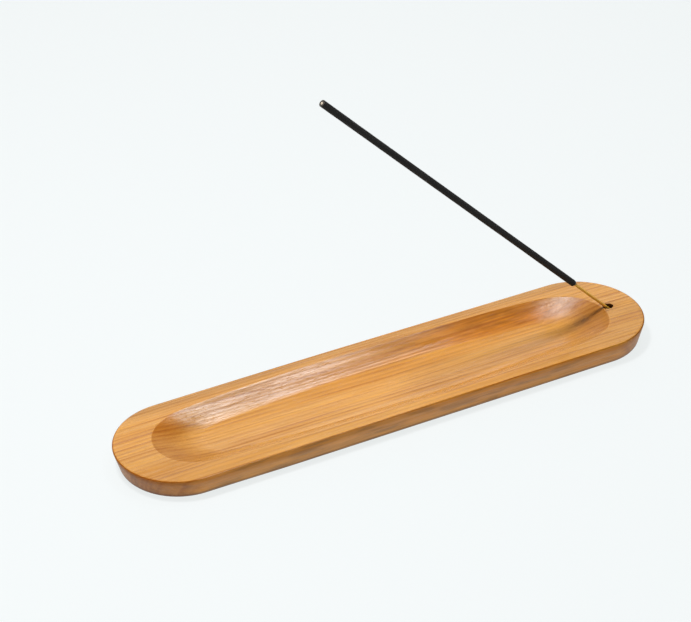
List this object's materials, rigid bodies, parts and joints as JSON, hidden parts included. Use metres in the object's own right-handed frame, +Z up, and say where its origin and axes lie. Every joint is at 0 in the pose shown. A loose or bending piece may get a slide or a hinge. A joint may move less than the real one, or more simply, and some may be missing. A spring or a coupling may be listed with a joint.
{
  "type": "incense stick holder",
  "caption": "Long wooden tray with round ends, a shallow carved ash trough and a slanted hole that holds a removable incense stick over the trough.",
  "frame": {"origin": "middle of the tray's underside", "axes": "+X along the tray towards the end with the stick hole, +Y across it, +Z up"},
  "size_m": [0.2496, 0.0552, 0.1471],
  "materials": {
    "tray_wood": "straight-grained golden-brown wood under a thin satin lacquer",
    "bamboo": "bare split bamboo with long fibres",
    "incense_paste": "matte black paste of charcoal and wood powder, slightly grainy"
  },
  "bodies": {
    "tray": {"wooden_tray": "tray_wood"},
    "stick": {"bamboo_splint": "bamboo", "incense_coating": "incense_paste"}
  },
  "joints": [
    {"name": "stick_pull_out", "type": "slide", "parent": "tray", "child": "stick", "axis": [-0.723, 0, 0.6909], "range_m": [0, 0.04]}
  ]
}
